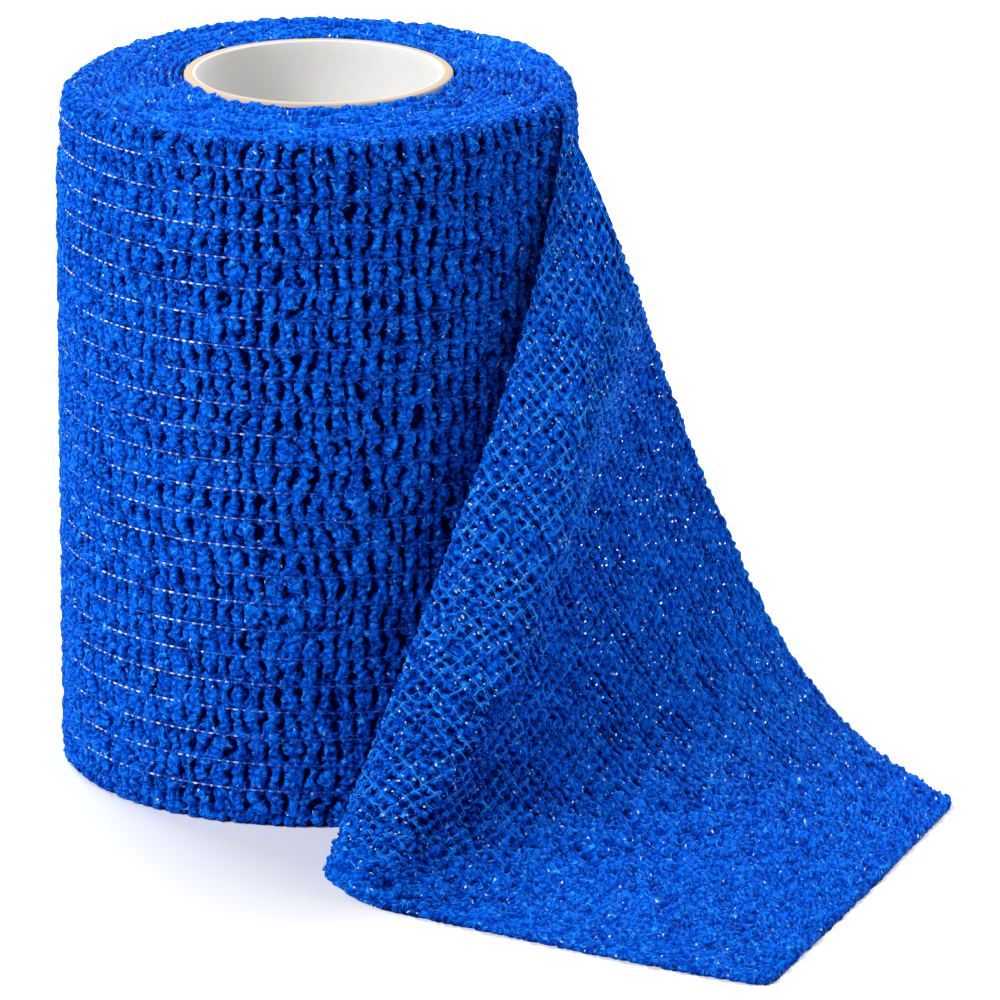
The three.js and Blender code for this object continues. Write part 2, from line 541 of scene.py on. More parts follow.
@dataclass(frozen=True)
class CoreBoard:
    """Spiral-wound paperboard, lined with smooth white paper, with a kraft cut edge."""

    liner: str = "#EDECEB"
    kraft: str = "#C0AB8C"
    fibre_mm: float = 1.6

    def build(self) -> bpy.types.Material:
        """Makes the material, which turns kraft within the wall's cut edge.

        Returns:
            A material that reads Object coordinates and the cut attribute.
        """
        material, tree = new_material("paperboard_core")
        spot = add_node(tree, "ShaderNodeTexCoord")
        edge = add_node(tree, "ShaderNodeAttribute", {"attribute_name": "cut"})
        mottle = add_node(
            tree, "ShaderNodeTexNoise", None,
            {"Vector": spot.outputs["Object"], "Scale": 1 / (self.fibre_mm * MM), "Detail": 3.0},
        )
        tone = add_node(
            tree, "ShaderNodeMix", {"data_type": "RGBA"},
            {0: edge.outputs["Fac"], 6: srgb(self.liner), 7: srgb(self.kraft)},
        )
        worn = add_node(
            tree, "ShaderNodeMix", {"data_type": "RGBA", "blend_type": "MULTIPLY"},
            {0: 0.10, 6: tone.outputs[2], 7: mottle.outputs["Color"]},
        )
        bump = add_node(
            tree, "ShaderNodeBump", None,
            {"Height": mottle.outputs[0], "Strength": 0.25, "Distance": 0.08 * MM},
        )
        shader = add_node(
            tree, "ShaderNodeBsdfPrincipled", None,
            {"Base Color": worn.outputs[2], "Roughness": 0.62, "Normal": bump.outputs[0]},
        )
        add_node(tree, "ShaderNodeOutputMaterial", None, {"Surface": shader.outputs[0]})
        return material


@dataclass(frozen=True)
class StudioFloor:
    """Plain matt white sweep."""

    white: str = "#FAFAFB"

    def build(self) -> bpy.types.Material:
        """Makes the material.

        Returns:
            A plain material.
        """
        material = bpy.data.materials.new("studio_floor")
        material.use_nodes = True
        shader = material.node_tree.nodes["Principled BSDF"]
        shader.inputs["Base Color"].default_value = srgb(self.white)
        shader.inputs["Roughness"].default_value = 0.9
        return material


def finish_piece(
    piece: bpy.types.Object,
    material: bpy.types.Material,
    replaced: Sequence[str] = (),
) -> None:
    """Dresses a finished piece and hands it to the frame.

    Args:
        piece: The object.
        material: Its material.
        replaced: Nodes that the piece stands for.
    """
    piece.data.materials.clear()
    piece.data.materials.append(material)
    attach(piece, "root")
    if replaced:
        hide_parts(*replaced)
    LOG.info("%s: %d faces", piece.name, len(piece.data.polygons))


@dataclass
class WoundRoll:
    """The web wound on the core: its side, its two ends and the threads round it.

    The side is measured along the winding from the place where the last wrap leaves the
    roll, clockwise seen from above.
    """

    material: bpy.types.Material
    thread_material: bpy.types.Material
    inner_wrap: float = 36.2
    layer: float = 1.0
    core_radius: float = 19.25
    peel_degrees: float = -20.0
    rim_top: float = 98.9
    shoulder_top: float = 1.9
    shoulder_bottom: float = 0.9
    tuck: float = 2.6
    rope_pitch: float = 2.5
    rope_height: float = 0.40
    knob_height: float = 0.24
    fold_height: float = 0.16
    hole_depth: float = 0.30
    gap_depth: float = 0.85
    pebble_width: float = 1.2
    pebble_height: float = 1.05
    top_thread: float = 95.2
    thread_pitch: float = 4.33
    pitch_loss: float = 0.0112
    rows_of_thread: int = 23
    seed: int = 11

    @property
    def girth(self) -> float:
        """Mean way round the last wrap in millimetres."""
        return 2 * math.pi * (self.inner_wrap + self.layer / 2)

    def radius(self, turn: Array) -> Array:
        """Radius of the outer wrap at a share of a turn from the peel line."""
        return self.inner_wrap + self.layer * turn

    @staticmethod
    def lifted(turn: Array, climb: Array) -> Array:
        """How far the loose end draws the wrap outwards, less the sag of the upper rim.

        Args:
            turn: Share of a turn from the peel line.
            climb: Place up the side in millimetres.

        Returns:
            Outward offset in millimetres.
        """
        pulled = 1.25 * smoothstep(0.045, 0.004, turn) * smoothstep(45.0, 88.0, climb)
        left = 1.0 * np.exp(-((turn - 0.49) / 0.11) ** 2)
        right = 0.9 * np.exp(-((turn - 0.92) / 0.055) ** 2)
        return pulled - (left + right) * smoothstep(82.0, 99.0, climb)

    @staticmethod
    def sunk(turn: Array) -> Array:
        """How far the upper rim has sunk at the left, in millimetres."""
        return 0.9 * np.exp(-((turn - 0.47) / 0.10) ** 2)

    def thread_number(self, height: Array) -> Array:
        """Number of the thread at a height, from 0 at the top, with parts between threads."""
        root = self.thread_pitch ** 2 - 4 * self.pitch_loss * (self.top_thread - height)
        return (self.thread_pitch - np.sqrt(np.maximum(root, 0.01))) / (2 * self.pitch_loss)

    def profile(self, count: int) -> dict[str, Array]:
        """Outline of the side from the lower end over both shoulders.

        Args:
            count: Number of points.

        Returns:
            Inset from the outer radius, height, the outward normal's radial and upward
            parts, and the climb, which is the height on the straight part and goes on
            along the outline past it.
        """
        low, high, tuck = self.shoulder_bottom, self.shoulder_top, self.tuck
        straight = self.rim_top - high - low
        lengths = np.array([tuck, low * math.pi / 2, straight, high * math.pi / 2, tuck])
        stops = np.concatenate([[0.0], np.cumsum(lengths)])
        along = np.linspace(0.0, stops[-1], count)
        part = [np.clip(along - stops[i], 0.0, lengths[i]) for i in range(5)]
        lower, upper = part[1] / low, part[3] / high
        inset = low + tuck - part[0] - low * np.sin(lower) + high * (1 - np.cos(upper)) + part[4]
        height = low * (1 - np.cos(lower)) + part[2] + high * np.sin(upper)
        height += 0.5 * (1 - part[0] / tuck) ** 2 - 1.1 * (part[4] / tuck) ** 2
        angle = lower - math.pi / 2 + upper
        return {"inset": inset, "height": height, "out": np.cos(angle), "up": np.sin(angle),
                "climb": along - stops[2] + low}

    def relief(self, along: Array, climb: Array) -> dict[str, Array]:
        """Crinkle of the web between its threads.

        Args:
            along: Place round the roll in millimetres.
            climb: Place up the side in millimetres.

        Returns:
            Offsets out of the surface, round the roll and up, all in millimetres, and the painted shade
            and painted glint values of the material.
        """
        fields = [Crumple(self.seed + i) for i in range(9)]

        def noise(index: int, cell: float, tall: float) -> Array:
            """One field, repeating once round the roll."""
            cells = max(1, round(self.girth / cell))
            return fields[index].at(along / self.girth * cells, climb / tall + 7.3 * index, cells)

        # Upright ropes that sway, pinched where a thread crosses them
        ropes = round(self.girth / self.rope_pitch)
        row = self.thread_number(climb)
        pinch = np.abs(np.sin(np.pi * row))
        phase = along / self.girth * ropes + 0.40 * noise(0, 9.0, 9.0) + 0.25 * noise(1, 2.6, 1.5)
        phase += 0.10 * noise(2, 1.3, 0.8)
        offset = np.abs(phase - np.floor(phase) - 0.5) * 2.0
        ragged = offset + 0.16 * noise(3, 1.1, 0.9)
        # Gaps between the ropes, wide or narrow by chance, closed towards one side and the rim
        dice = np.random.default_rng(self.seed + 50).random((ropes, 64))
        chance = dice[np.floor(phase + 0.5).astype(int) % ropes, np.floor(row).astype(int) % 64]
        turn = along / self.girth
        slack = 0.86 - 0.40 * smoothstep(0.235, 0.31, turn) * smoothstep(0.66, 0.52, turn)
        slack *= smoothstep(99.9, 98.2, climb) * 0.85 + 0.15
        width = np.clip(0.42 + 0.62 * chance, 0.0, 1.0) * slack * np.clip(1.35 * pinch - 0.25, 0.0, 1.0)
        gap = smoothstep(1.0 - 0.52 * width, 1.0 - 0.22 * width, ragged) * np.sqrt(width)
        # Small pits and the folds between them
        cells = max(1, round(self.girth / self.pebble_width))
        nearest, border = Pebbles(self.seed + 60).at(
            along / self.girth * cells + 0.35 * noise(4, 1.7, 1.5),
            climb / self.pebble_height + 0.35 * noise(5, 1.7, 1.5),
            cells,
        )
        hole = smoothstep(0.44, 0.10, nearest)
        fold = smoothstep(0.34, 0.0, border)
        knob = noise(6, 1.6, 1.25)
        out = self.rope_height * (0.6 - offset ** 2.2) + self.knob_height * knob
        out = out + self.fold_height * fold - self.hole_depth * hole
        out += 0.10 * (pinch - 0.5) - self.gap_depth * gap
        # Painted shade: darker where the surface lies low and in the gaps, and a little darker on the
        # front-right stretch that faces away from the key light.
        painted_shade = 0.38 - 0.62 * out + 0.20 * gap + 0.045 * smoothstep(0.34, 0.12, turn)
        painted_shade = np.clip(painted_shade, 0.24, 1.0)
        left_bulge = 0.2 * np.exp(-((turn - 0.46) / 0.06) ** 2)
        out -= 0.12 + 0.45 * smoothstep(0.62, 0.90, turn) - left_bulge
        # Painted glints: more pale specks towards the upper rim.
        painted_glint = 0.012 + 0.06 * smoothstep(96.5, 99.0, climb)
        return {"out": out, "slip": 0.22 * noise(7, 1.4, 1.2), "lift": 0.20 * noise(8, 1.5, 1.2),
                "painted_shade": painted_shade, "painted_glint": painted_glint}

    def side_piece(
        self, name: str, turns: tuple[float, float], columns: int, rows: int,
    ) -> bpy.types.Object:
        """One stretch of the crinkled side.

        Args:
            name: Name of the piece.
            turns: First and last share of a turn from the peel line.
            columns: Points along the winding.
            rows: Points up the side.

        Returns:
            The mesh object.
        """
        turn, _ = np.meshgrid(np.linspace(*turns, columns), np.zeros(rows))
        line = {key: values[:, None] + 0 * turn for key, values in self.profile(rows).items()}
        radius = self.radius(turn) + self.lifted(turn, line["climb"])
        along = turn * self.girth
        crinkle = self.relief(along, line["climb"])
        out = crinkle["out"] * (1.0 - 0.5 * smoothstep(1.9, 4.5, line["inset"]))
        above_table = smoothstep(0.0, 2.5, line["height"])
        line["height"] = line["height"] - self.sunk(turn) * smoothstep(88.0, 99.0, line["climb"])
        reach = radius - line["inset"] + out * line["out"]
        level = line["height"] + (out * line["up"] + crinkle["lift"] * line["out"]) * above_table
        level = np.maximum(level, 0.05)
        angle = math.radians(self.peel_degrees) - turn * 2 * math.pi + crinkle["slip"] / radius
        points = to_frame(reach * np.cos(angle), reach * np.sin(angle), level)
        uv = np.stack([along, line["climb"]], -1) / UV_UNIT
        return grid_object(name, points[::-1], uv[::-1],
                           {key: crinkle[key][::-1] for key in ("painted_shade", "painted_glint")})

    def build(self) -> None:
        """Builds and dresses every piece of the wound web."""
        sides = [
            self.side_piece("web_side_front_right", (0.0, 0.24), 236, 418),
            self.side_piece("web_side_front_left", (0.24, 0.50), 244, 405),
            self.side_piece("web_side_back", (0.50, 1.0), 300, 250),
        ]
        for side in sides:
            finish_piece(side, self.material, ["wound_roll"])
        for end in (WoundEnd(self, True), WoundEnd(self, False)):
            end.build()
        self.threads()

    def threads(self) -> None:
        """Elastic threads round the last wrap, each a thin line with short stitches on it."""
        line_finish = ElasticThread(left_side_tone="#5E9CEE", dyed="#0C4CB8", name="elastic_line").build()
        for name, stitched, lift, finish in (
            ("elastic_lines", False, -0.32, line_finish),
            ("elastic_stitches", True, -0.20, self.thread_material),
        ):
            carrier = bpy.data.objects.new(name, bpy.data.meshes.new(name))
            bpy.context.scene.collection.objects.link(carrier)
            values = {
                "First radius": (self.inner_wrap + lift) * MM,
                "Last radius": (self.inner_wrap + self.layer + lift) * MM,
                "Start angle": math.radians(self.peel_degrees),
                "Rings": self.rows_of_thread,
                "Top": self.top_thread * MM,
                "Ring pitch": self.thread_pitch * MM,
                "Pitch loss": self.pitch_loss * MM,
                "Centre": (AXIS.x * MM, AXIS.y * MM, 0.0),
                "Stitches": 184,
                "Stitch length": 0.58 * MM,
                "Thickness": 0.14 * MM,
                "Line thickness": 0.06 * MM,
                "Kept share": 0.84,
                "Stitched": stitched,
                "Material": finish,
            }
            piece = run_tree(carrier, ThreadRings().tree(), values)
            finish_piece(piece, finish)


def run_tree(carrier: bpy.types.Object, tree: Tree, values: dict[str, Any]) -> bpy.types.Object:
    """Runs a Geometry Nodes tree and keeps its result as a plain mesh.

    Args:
        carrier: Object that gets the modifier for the run.
        tree: The node tree.
        values: Values by input name.

    Returns:
        The carrier with the finished mesh and no modifier.
    """
    modifier = carrier.modifiers.new("nodes", "NODES")
    modifier.node_group = tree
    for item in tree.interface.items_tree:
        if item.item_type == "SOCKET" and item.in_out == "INPUT" and item.name in values:
            modifier[item.identifier] = values[item.name]
    depsgraph = bpy.context.evaluated_depsgraph_get()
    result = bpy.data.meshes.new_from_object(carrier.evaluated_get(depsgraph))
    carrier.modifiers.clear()
    result.name = carrier.name
    carrier.data = result
    carrier.data.shade_smooth()
    return carrier


def new_tree(name: str, sockets: Sequence[tuple[str, str]]) -> tuple[Tree, dict[str, Any]]:
    """Starts a Geometry Nodes tree.

    Args:
        name: Name of the tree.
        sockets: Name and kind of each input, kind as in NodeSocketFloat without the prefix.

    Returns:
        The tree and its inputs' sockets by name.
    """
    tree = bpy.data.node_groups.new(name, "GeometryNodeTree")
    tree.interface.new_socket(name="Geometry", in_out="OUTPUT", socket_type="NodeSocketGeometry")
    for label, kind in sockets:
        tree.interface.new_socket(name=label, in_out="INPUT", socket_type="NodeSocket" + kind)
    source = tree.nodes.new("NodeGroupInput")
    return tree, {label: source.outputs[label] for label, _ in sockets}


def close_tree(tree: Tree, geometry: Socket, material: Socket) -> None:
    """Ends a tree with Realize Instances and Set Material.

    Args:
        tree: The node tree.
        geometry: What the tree has made.
        material: The input that holds its material.
    """
    real = add_node(tree, "GeometryNodeRealizeInstances", None, {"Geometry": geometry})
    dressed = add_node(
        tree, "GeometryNodeSetMaterial", None, {"Geometry": real.outputs[0], "Material": material},
    )
    add_node(tree, "NodeGroupOutput", None, {"Geometry": dressed.outputs[0]})


@dataclass(frozen=True)
class ThreadRings:
    """Tree that lays turns of thread round an upright roll, with short stitches on each."""

    seed: int = 5

    def tree(self) -> Tree:
        """Builds the node tree.

        Returns:
            A tree with named inputs for its sizes, its share of stitches and its material.
        """
        tree, given = new_tree("thread_rings", [
            ("First radius", "Float"), ("Last radius", "Float"), ("Start angle", "Float"),
            ("Rings", "Int"), ("Top", "Float"), ("Ring pitch", "Float"), ("Pitch loss", "Float"),
            ("Centre", "Vector"), ("Stitches", "Int"), ("Stitch length", "Float"),
            ("Thickness", "Float"), ("Line thickness", "Float"), ("Kept share", "Float"),
            ("Stitched", "Bool"), ("Material", "Material"),
        ])
        number = add_node(tree, "GeometryNodeInputIndex").outputs[0]
        ladder = add_node(
            tree, "GeometryNodeMeshLine", None,
            {"Count": given["Rings"], "Start Location": given["Centre"], "Offset": (0.0, 0.0, 0.0)},
        )
        less = add_node(
            tree, "ShaderNodeMath", {"operation": "MULTIPLY"}, {0: number, 1: given["Pitch loss"]},
        )
        step = add_node(
            tree, "ShaderNodeMath", {"operation": "SUBTRACT"}, {0: given["Ring pitch"], 1: less.outputs[0]},
        )
        fall = add_node(tree, "ShaderNodeMath", {"operation": "MULTIPLY"}, {0: number, 1: step.outputs[0]})
        height = add_node(
            tree, "ShaderNodeMath", {"operation": "SUBTRACT"}, {0: given["Top"], 1: fall.outputs[0]},
        )
        rise = add_node(tree, "ShaderNodeCombineXYZ", None, {"Z": height.outputs[0]})
        spread = add_node(
            tree, "GeometryNodeSetPosition", None,
            {"Geometry": ladder.outputs[0], "Offset": rise.outputs[0]},
        )
        turn_of_thread = add_node(
            tree, "GeometryNodeCurveSpiral", None,
            {"Resolution": given["Stitches"], "Rotations": 1.0, "Start Radius": given["First radius"],
             "End Radius": given["Last radius"], "Height": 0.0, "Reverse": True},
        )
        turned = add_node(tree, "ShaderNodeCombineXYZ", None, {"Z": given["Start angle"]})
        rings = add_node(
            tree, "GeometryNodeInstanceOnPoints", None,
            {"Points": spread.outputs[0], "Instance": turn_of_thread.outputs[0],
             "Rotation": turned.outputs[0]},
        )
        loops = add_node(tree, "GeometryNodeRealizeInstances", None, {"Geometry": rings.outputs[0]})
        section = add_node(
            tree, "GeometryNodeCurvePrimitiveCircle", None,
            {"Resolution": 3, "Radius": given["Line thickness"]},
        )
        lines = add_node(
            tree, "GeometryNodeCurveToMesh", None,
            {"Curve": loops.outputs[0], "Profile Curve": section.outputs[0]},
        )
        spots = add_node(
            tree, "GeometryNodeCurveToPoints", {"mode": "EVALUATED"}, {"Curve": loops.outputs[0]},
        )
        stitch = add_node(
            tree, "GeometryNodeMeshCylinder", None,
            {"Vertices": 4, "Radius": given["Thickness"], "Depth": given["Stitch length"]},
        )
        stretch = add_node(
            tree, "FunctionNodeRandomValue", {"data_type": "FLOAT_VECTOR"},
            {0: (0.7, 0.7, 0.4), 1: (1.15, 1.15, 1.35), "Seed": self.seed + 1},
        )
        kept = add_node(
            tree, "FunctionNodeRandomValue", {"data_type": "BOOLEAN"},
            {"Probability": given["Kept share"], "Seed": self.seed + 2},
        )
        stitches = add_node(
            tree, "GeometryNodeInstanceOnPoints", None,
            {"Points": spots.outputs["Points"], "Selection": kept.outputs[3], "Instance": stitch.outputs[0],
             "Rotation": spots.outputs["Rotation"], "Scale": stretch.outputs[0]},
        )
        chosen = add_node(
            tree, "GeometryNodeSwitch", {"input_type": "GEOMETRY"},
            {"Switch": given["Stitched"], "False": lines.outputs[0], "True": stitches.outputs[0]},
        )
        close_tree(tree, chosen.outputs[0], given["Material"])
        return tree


@dataclass
class WoundEnd:
    """One end of the roll: the edges of all its layers, wound side by side."""

    roll: WoundRoll
    upper: bool
    outer_inset: float = 1.3
    rim_fall: float = 0.75
    middle_radius: float = 28.0
    crest_height: float = 1.05
    vein_height: float = 0.22
    wave_length: float = 2.3

    def build(self) -> None:
        """Builds the layer edges and the surface that closes the gaps between them."""
        roll = self.roll
        name = "web_end_top" if self.upper else "web_end_bottom"
        rows, columns = (80, 720) if self.upper else (50, 400)
        reach, turn = np.meshgrid(np.linspace(0, 1, rows), np.linspace(0, 1, columns), indexing="ij")
        outer = roll.radius(turn) - self.outer_inset
        if self.upper:
            outer = outer + roll.lifted(turn, np.full_like(turn, WEB_WIDTH))
        radius = roll.core_radius + (outer - roll.core_radius) * reach
        girth = 2 * math.pi * self.middle_radius
        along = turn * girth
        fields = [Crumple(roll.seed + 40 + i + (0 if self.upper else 20)) for i in range(8)]

        def noise(index: int, cell: float, deep: float) -> Array:
            """One field, repeating once round the end."""
            cells = max(1, round(girth / cell))
            return fields[index].at(turn * cells, radius / deep + 3.1 * index, cells)

        # The layers as one spiral, each a crest that waves along its edge
        phase = (radius - roll.core_radius) / roll.layer - turn
        phase = phase + 0.18 * noise(0, 3.0, 2.2) + 0.10 * noise(1, 1.5, 1.1) + 0.3 * noise(2, 14.0, 7.0)
        layer = np.floor(phase)
        offset = np.abs(phase - layer - 0.5) * 2.0
        cells = round(girth / self.wave_length)
        wave = fields[3].at(turn * cells, layer * 3.7 + 0.4, cells)
        crest = (1.0 - offset ** 1.6) * (0.66 + 0.50 * wave)
        vein = np.clip(ridged(noise(4, 1.1, 0.9)), 0.0, 1.0) ** 2
        out = self.crest_height * crest + 0.16 * noise(5, 1.3, 1.0)
        out = out + self.vein_height * vein + 0.16 * noise(6, 9.0, 4.5)
        out += 0.20 * np.clip(noise(7, 2.2, 1.5), 0, 1) - 0.50
        crown = 0.9 * (1 - reach) ** 1.5 - self.rim_fall * smoothstep(0.90, 1.0, reach)
        # Painted shade: darker where the layer edges lie low, and a little lighter towards the front
        # stretch.
        painted_shade = 0.30 - 0.56 * out - 0.05 * np.exp(-((turn - 0.2) / 0.15) ** 2)
        painted_shade = np.clip(painted_shade, 0.20, 1.0)
        if self.upper:
            crown = crown - roll.sunk(turn) * smoothstep(0.45, 1.0, reach)
            level = np.minimum(roll.rim_top - 0.15 + crown + out, WEB_WIDTH + 0.6)
        else:
            level = np.maximum(0.55 - out, 0.02)
        spread = radius + 0.25 * noise(1, 1.7, 1.3) * np.minimum(1, 8 * reach * (1 - reach) + 0.1)
        angle = math.radians(roll.peel_degrees) - turn * 2 * math.pi
        points = to_frame(spread * np.cos(angle), spread * np.sin(angle), level)
        uv = np.stack([along, radius], -1) / UV_UNIT
        order = slice(None) if self.upper else slice(None, None, -1)
        # Painted glints are spread evenly over the end.
        values = {"painted_shade": painted_shade[order][::-1], "painted_glint": np.full_like(painted_shade, 0.07)}
        piece = grid_object(name, points[order][::-1], uv[order][::-1], values)
        finish_piece(piece, roll.material, ["wound_roll"])


@dataclass
class FanLine:
    """One line of the fan that sweeps the loose end, from the upper edge to the lower edge."""

    top: tuple[float, float, float]
    knee: tuple[float, float, float]
    foot: tuple[float, float, float]


LYING = 0.6
FAN = [
    FanLine((34.7, -13.1, 97.4), (34.7, -13.1, 49.0), (34.7, -13.1, 0.0)),
    FanLine((34.4, -14.9, 97.4), (34.1, -18.5, 57.0), (29.8, -25.8, 0.0)),
    FanLine((34.4, -16.7, 97.2), (32.2, -25.0, 60.9), (14.0, -39.3, 0.0)),
    FanLine((34.7, -16.4, 96.8), (28.6, -29.5, 62.8), (2.6, -51.0, 0.0)),
    FanLine((36.2, -17.1, 93.5), (28.0, -32.3, 60.9), (1.9, -57.6, 0.2)),
    FanLine((40.9, -23.3, 84.0), (34.9, -37.7, 50.0), (3.6, -62.6, 0.4)),
    FanLine((44.4, -21.8, 74.3), (31.2, -46.2, 29.6), (5.6, -66.9, LYING)),
    FanLine((47.5, -11.0, 62.1), (22.7, -52.0, 8.9), (9.6, -71.4, LYING)),
    FanLine((55.3, -3.5, 39.2), (36.0, -48.0, LYING), (20.6, -78.8, LYING)),
    FanLine((66.4, -3.7, 16.1), (57.9, -44.0, LYING), (42.4, -92.8, LYING)),
    FanLine((77.8, -12.6, 4.5), (70.4, -50.8, LYING), (55.4, -100.2, LYING)),
    FanLine((89.1, -26.4, LYING), (75.7, -64.9, LYING), (61.3, -103.0, LYING)),
]


@dataclass
class LooseEnd:
    """The free stretch of web: it leaves the roll, folds over and lies flat at its cut end."""

    material: bpy.types.Material
    width: float = WEB_WIDTH
    crest_line: float = 4.3
    columns: int = 358
    rows: int = 258
    rim_steps: int = 4
    rim_radius: float = 0.42
    hole_closing: float = 0.42
    groove_pitch: float = 1.5
    corner_radius: float = 2.0
    net_pitch: float = 1.75
    net_shift: float = 0.3
    fold_reach: float = 13.0
    woven_reach: float = 42.0
    filament_reach: float = 30.0
    seed: int = 71
    stations: int = 1400
    drawn_in: float = 0.885
    flat_size: tuple[float, float] = (0.0, 0.0)

    @staticmethod
    def path(points: Array, at: Array) -> Array:
        """Smooth path through points.

        Args:
            points: Points to pass, shape (count, 3).
            at: Places along the path, in steps between points.

        Returns:
            Points on the path, shape (len(at), 3).
        """
        ends = np.concatenate([[2 * points[0] - points[1]], points, [2 * points[-1] - points[-2]]])
        index = np.clip(np.floor(at).astype(int), 0, len(points) - 2)
        t = (at - index)[:, None]
        before, start, stop, after = (ends[index + i] for i in range(4))
        bend = 2 * before - 5 * start + 4 * stop - after
        twist = 3 * start - before - 3 * stop + after
        return 0.5 * (2 * start + (stop - before) * t + bend * t ** 2 + twist * t ** 3)

    def fan(self, steps: int) -> Array:
        """Middle surface of the sheet as lines of evenly spaced points.

        Args:
            steps: Points on each line.

        Returns:
            Points, shape (stations, steps, 3).
        """
        at = np.linspace(0, len(FAN) - 1, self.stations)
        top, knee, foot = (
            self.path(np.array([getattr(line, part) for line in FAN]), at)[:, None]
            for part in ("top", "knee", "foot")
        )
        t = np.linspace(0, 1, 160)[None, :, None]
        curve = (1 - t) ** 3 * top + (1 - (1 - t) ** 3 - t ** 3) * knee + t ** 3 * foot
        length = np.cumsum(np.linalg.norm(np.diff(curve, axis=1), axis=2), axis=1)
        length = np.concatenate([np.zeros((self.stations, 1)), length], 1)
        share = np.linspace(0, 1, steps)
        lines = np.empty((self.stations, steps, 3))
        for i in range(self.stations):
            for k in range(3):
                lines[i, :, k] = np.interp(share * length[i, -1], length[i], curve[i, :, k])
        return lines

    def flat_grid(self) -> tuple[Array, Array, Array, Array]:
        """Lays a regular grid of the flat web on the middle surface.

        Returns:
            Points of shape (rows, columns, 3), run along the web and height across it in
            millimetres, and the distance in millimetres from the fold's crest.
        """
        lines = self.fan(self.rows)
        steps = np.linalg.norm(np.diff(lines, axis=0), axis=2)
        runs_by_row = np.concatenate([np.zeros((1, self.rows)), np.cumsum(steps, axis=0)])
        crest = round(self.crest_line / (len(FAN) - 1) * (self.stations - 1))
        points = np.empty((self.rows, self.columns, 3))
        run = np.empty((self.rows, self.columns))
        from_crest = np.empty((self.rows, self.columns))
        for row in range(self.rows):
            runs = runs_by_row[:, row]
            run[row] = np.linspace(0, runs[-1], self.columns)
            from_crest[row] = run[row] - runs[crest]
            for k in range(3):
                points[row, :, k] = np.interp(run[row], runs, lines[:, row, k])
        across = np.broadcast_to(np.linspace(self.width, 0, self.rows)[:, None], run.shape)
        self.flat_size = (self.width * self.drawn_in, float(runs_by_row[-1].mean()))
        return points, run, across, from_crest

    def relief(self, run: Array, across: Array, from_crest: Array, height: Array) -> dict[str, Array]:
        """Texture of the loose web.

        Args:
            run: Place along the web.
            across: Place across the web.
            from_crest: Distance past the fold's crest.
            height: Height of the middle surface above the table.

        Returns:
            Offset out of the surface, two offsets along it, the painted shade, painted glint and net
            values, the shares that are lying, folded or grooved, and the place across the web.
        """
        fields = [Crumple(self.seed + i) for i in range(12)]

        def noise(index: int, cell: float, tall: float) -> Array:
            """One field over the flat web."""
            return fields[index].at(run / cell + 5.7 * index, across / tall + 3.9 * index)

        # Where the web lies, where it folds over, and its shallow grooves along the run
        lying = smoothstep(9.0, 1.5, height)
        folded = np.exp(-(from_crest / self.fold_reach) ** 2) * (1 - 0.6 * lying)
        groove_phase = across / self.groove_pitch + 0.28 * noise(0, 7.0, 3.0) + 0.12 * noise(1, 1.8, 1.4)
        groove = smoothstep(0.60, 0.95, np.abs(groove_phase - np.floor(groove_phase) - 0.5) * 2)
        groove = groove * smoothstep(-0.35, 0.25, noise(2, 4.5, 1.7)) * (1 - lying) * (1 - 0.7 * folded)
        # Ridges both ways over the taut threads, strongest near the fold
        weave = np.zeros_like(run)
        for place, index in ((run, 3), (across, 4)):
            phase = (place + self.net_shift) / self.net_pitch + 0.10 * noise(index, 3.0, 3.0)
            weave = np.maximum(weave, np.abs(np.cos(np.pi * phase)) ** 3)
        near_fold = np.exp(-(from_crest / self.woven_reach) ** 2)
        woven = near_fold * (1 - 0.8 * lying) + 0.45 * (1 - near_fold) * (1 - lying)
        # Pits, folds and curls of the slack web
        nearest, border = Pebbles(self.seed + 60).at(
            run / 1.25 + 0.40 * noise(7, 2.0, 2.0), across / 1.15 + 0.40 * noise(8, 2.0, 2.0),
        )
        fold = smoothstep(0.34, 0.0, border)
        hole = smoothstep(0.46, 0.12, nearest)
        curl = fields[9].at(run / 1.2 + 0.6 * noise(7, 1.9, 1.9), across / 1.5)
        worm = np.clip(ridged(curl), -0.4, 1.0)
        lump = noise(11, 1.6, 1.6)
        out = lying * (0.40 * worm + 0.30 * fold - 0.30 * hole + 0.16 * lump)
        out += (1 - lying) * (0.15 * fold - 0.18 * hole + 0.10 * lump + 0.08 * worm)
        out += woven * (0.46 * weave - 0.24) + folded * (0.10 * fold - 0.10 * hole) - 0.30 * groove
        # Painted shade and light: darker near the fold below mid height and about 17 mm past its crest low
        # down, lighter low on the wall away from the fold.
        shaded = 0.06 * near_fold * smoothstep(62.0, 30.0, height) * (1 - lying)
        shaded -= 0.09 * (1 - near_fold) * smoothstep(50.0, 20.0, height) * (1 - lying)
        shaded += 0.09 * np.exp(-((from_crest - 17.0) / 10.0) ** 2) * smoothstep(40.0, 12.0, height)
        contrast = 0.50 + 0.35 * woven - 0.05 * lying
        # Painted shade: darker where the surface lies low and in the grooves, more so where the web is
        # woven.
        painted_shade = np.clip(0.36 + shaded - contrast * out + 0.16 * groove, 0.24, 1.0)
        # Painted glints: more pale specks over the fold.
        painted_glint = 0.05 + 0.12 * folded
        net = np.clip(1.4 * np.exp(-(from_crest / self.filament_reach) ** 2), 0.30, 1.0)
        net = net * (1 - 0.7 * lying)
        return {"out": out, "slide": 0.16 * noise(5, 1.3, 1.3), "slide_up": 0.16 * noise(6, 1.3, 1.3),
                "painted_shade": painted_shade, "painted_glint": painted_glint, "net": net, "groove": groove, "lying": lying, "folded": folded,
                "across": across}

